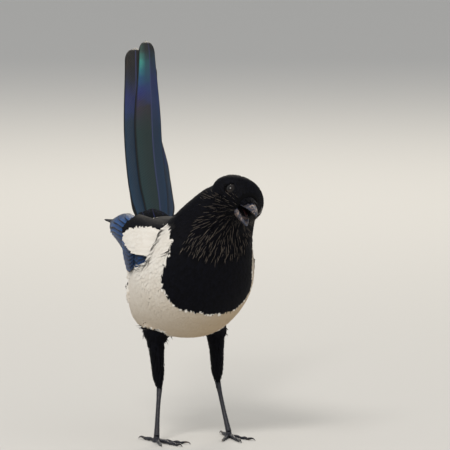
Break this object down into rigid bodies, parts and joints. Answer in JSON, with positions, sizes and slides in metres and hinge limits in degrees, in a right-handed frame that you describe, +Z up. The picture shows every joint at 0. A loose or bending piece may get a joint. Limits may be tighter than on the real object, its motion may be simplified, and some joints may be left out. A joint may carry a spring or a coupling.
{
  "type": "eurasian magpie",
  "caption": "Life-size magpie standing on two feet, tail cocked up behind, head low, tipped to its left, bill open.",
  "frame": {"origin": "middle of the model's box on the floor that the feet stand on", "axes": "+Z up, the bird faces -Y, +X towards the bird's left side"},
  "size_m": [0.1197, 0.3778, 0.307],
  "materials": {
    "black_plumage": "matte",
    "white_plumage": "matte",
    "wing_feathers": "satin",
    "tail_feathers": "satin",
    "bill_horn": "satin",
    "mouth": "gloss",
    "eye": "gloss",
    "leg_scales": "satin",
    "claws": "satin"
  },
  "bodies": {
    "root": {"torso": "white_plumage", "neck": "black_plumage", "head": "black_plumage", "bill_upper": "bill_horn", "bill_lower": "bill_horn", "tongue": "mouth", "eye_right": "eye", "eye_left": "eye", "wing_right": "wing_feathers", "wing_left": "wing_feathers", "tail": "tail_feathers", "thigh_right": "black_plumage", "thigh_left": "black_plumage", "shank_right": "leg_scales", "shank_left": "leg_scales", "foot_right": "leg_scales", "foot_left": "leg_scales", "claw_right_inner": "claws", "claw_right_middle": "claws", "claw_right_outer": "claws", "claw_right_hind": "claws", "claw_left_inner": "claws", "claw_left_middle": "claws", "claw_left_outer": "claws", "claw_left_hind": "claws"}
  },
  "joints": []
}
